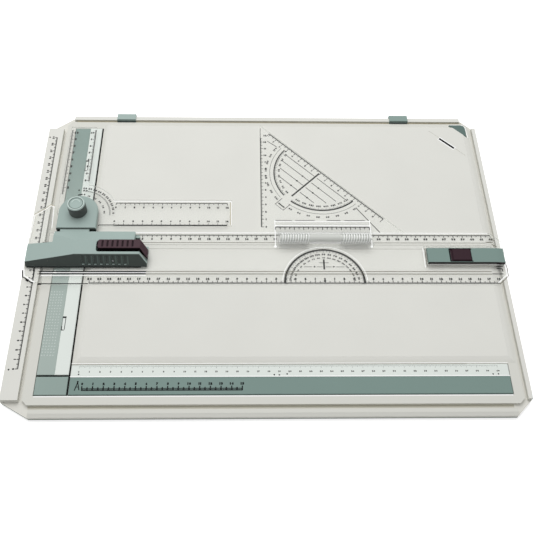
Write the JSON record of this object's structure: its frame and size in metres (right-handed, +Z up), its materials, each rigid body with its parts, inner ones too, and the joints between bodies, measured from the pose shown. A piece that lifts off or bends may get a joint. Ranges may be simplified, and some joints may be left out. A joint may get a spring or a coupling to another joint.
{
  "type": "drawing board",
  "caption": "Table-top drawing board with a sliding clear parallel ruler, a drawing head with an angle ruler, a paper clamp bar, a set square and a rolling ruler.",
  "frame": {"origin": "centre of the footprint of the board with its two rear clips, on the table under the rubber feet", "axes": "+X to the right along the board, +Y to the rear, +Z up"},
  "size_m": [0.4994, 0.3754, 0.034],
  "materials": {
    "board": "fine matt moulded plastic",
    "grey": "satin grey-green moulded plastic",
    "scale_white": "satin pale plastic",
    "clear": "clear polished plastic",
    "maroon": "satin dark maroon plastic",
    "steel": "plain bright steel",
    "brass": "turned brass",
    "rubber": "matt black rubber"
  },
  "bodies": {
    "board": {"board_shell": "board", "corner_block": "grey", "bottom_bar": "grey", "bottom_scale_strip": "scale_white", "paper_corner": "grey", "bar_screws": "steel", "clamp_rod": "steel", "clamp_springs": "steel", "rubber_foot_front_left": "rubber", "rubber_foot_front_right": "rubber", "rubber_foot_rear_left": "rubber", "rubber_foot_rear_right": "rubber"},
    "clamp_bar": {"clamp_grip": "grey", "clamp_jaw": "scale_white"},
    "left_clip": {"rear_clip_left": "grey"},
    "right_clip": {"rear_clip_right": "grey"},
    "parallel_ruler": {"ruler_blade": "clear", "left_slide_plate": "clear", "left_guide_shoe": "clear", "right_guide_shoes": "clear", "right_tray": "clear", "right_cover": "grey", "cover_screws": "steel", "button_spring": "steel", "arm_pin": "steel", "head_housing": "grey", "head_screws": "steel", "lever_pin": "steel", "lever_spring": "steel", "hub_housing": "grey", "pivot_stud": "steel"},
    "lever": {"lock_lever": "maroon", "lever_arm": "steel", "left_brake_pad": "rubber"},
    "button": {"brake_button": "maroon"},
    "right_brake": {"brake_arm": "steel", "right_brake_pad": "rubber"},
    "protractor": {"protractor_ruler": "clear", "friction_disc": "grey"},
    "knob": {"clamp_knob": "grey", "knob_insert": "brass"},
    "square": {"set_square": "clear"},
    "rolling_ruler": {"rolling_base": "clear", "roller_frame": "clear", "roller_axle": "steel"},
    "roller": {"roller_core": "clear", "roller_sleeves": "clear"}
  },
  "joints": [
    {"name": "ruler_slide", "type": "slide", "parent": "board", "child": "parallel_ruler", "axis": [0, 1, 0], "range_m": [-0.092, 0.11]},
    {"name": "lever_rock", "type": "hinge", "parent": "parallel_ruler", "child": "lever", "pos_m": [-0.19495, -0.0099, 0.017], "axis": [0, 1, 0], "range_deg": [0, 2], "stiffness_Nm_per_rad": 0.05, "springref_deg": -11.46, "deforming": ["lever_spring"]},
    {"name": "button_press", "type": "slide", "parent": "parallel_ruler", "child": "button", "axis": [0, 0, -1], "range_m": [0, 0.0006], "stiffness_N_per_m": 400, "springref_m": -0.002, "deforming": ["button_spring"]},
    {"name": "brake_arm_tilt", "type": "hinge", "parent": "parallel_ruler", "child": "right_brake", "pos_m": [0.22385, -0.01555, 0.0144], "axis": [0, -1, 0], "range_deg": [0, 1.9]},
    {"name": "protractor_turn", "type": "hinge", "parent": "parallel_ruler", "child": "protractor", "pos_m": [-0.19995, 0.0376, 0.016], "axis": [0, 0, 1], "range_deg": [-10, 90]},
    {"name": "knob_turn", "type": "hinge", "parent": "parallel_ruler", "child": "knob", "pos_m": [-0.19995, 0.0376, 0.016], "axis": [0, 0, 1], "range_deg": [-180, 180]},
    {"name": "clamp_rock", "type": "hinge", "parent": "board", "child": "clamp_bar", "pos_m": [-0.20245, 0.0096, 0.0061], "axis": [0, -1, 0], "range_deg": [0, 4], "stiffness_Nm_per_rad": 0.05, "springref_deg": -17.19, "deforming": ["clamp_springs"]},
    {"name": "square_slide", "type": "slide", "parent": "parallel_ruler", "child": "square", "axis": [1, 0, 0], "range_m": [-0.028, 0.04]},
    {"name": "rolling_ruler_lift", "type": "slide", "parent": "parallel_ruler", "child": "rolling_ruler", "axis": [0, 0, 1], "range_m": [0, 0.06]},
    {"name": "roller_spin", "type": "hinge", "parent": "rolling_ruler", "child": "roller", "pos_m": [0.06105, 0.0036, 0.0182], "axis": [1, 0, 0], "continuous": true},
    {"name": "left_clip_slide", "type": "slide", "parent": "board", "child": "left_clip", "axis": [1, 0, 0], "range_m": [-0.04, 0.1]},
    {"name": "right_clip_slide", "type": "slide", "parent": "board", "child": "right_clip", "axis": [1, 0, 0], "range_m": [0, 0.055]}
  ],
  "couplings": [
    {"joint": "brake_arm_tilt", "follows": "button_press", "rad_per_m": 52}
  ]
}
